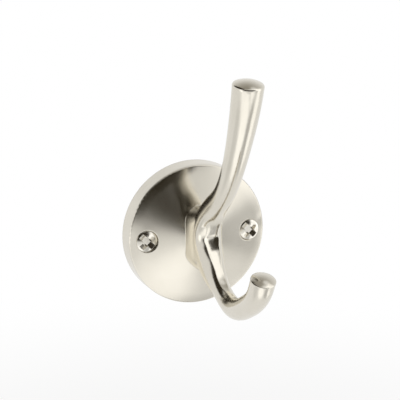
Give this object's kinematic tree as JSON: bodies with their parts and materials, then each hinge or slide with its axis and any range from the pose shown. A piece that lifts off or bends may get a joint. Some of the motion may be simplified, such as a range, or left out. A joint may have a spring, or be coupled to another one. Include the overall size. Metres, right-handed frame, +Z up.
{
  "type": "furniture hook",
  "caption": "Cast coat hook with a thick round base, a tall upper arm, a small lower hook and a polished hollow where the arms part, fixed to a wall by countersunk screws.",
  "frame": {"origin": "centre of the round base on its back face, which lies on the wall", "axes": "+Y into the wall, so the hook stands out towards -Y; +Z up along the upper arm; X = 0 halves the hook"},
  "size_m": [0.05, 0.0727, 0.0854],
  "materials": {
    "satin_nickel": "satin brushed nickel plate, polished in the hollow of the saddle",
    "polished_nickel": "polished nickel plate"
  },
  "bodies": {
    "root": {"hook_body": "satin_nickel", "mounting_screws": "polished_nickel"}
  },
  "joints": []
}
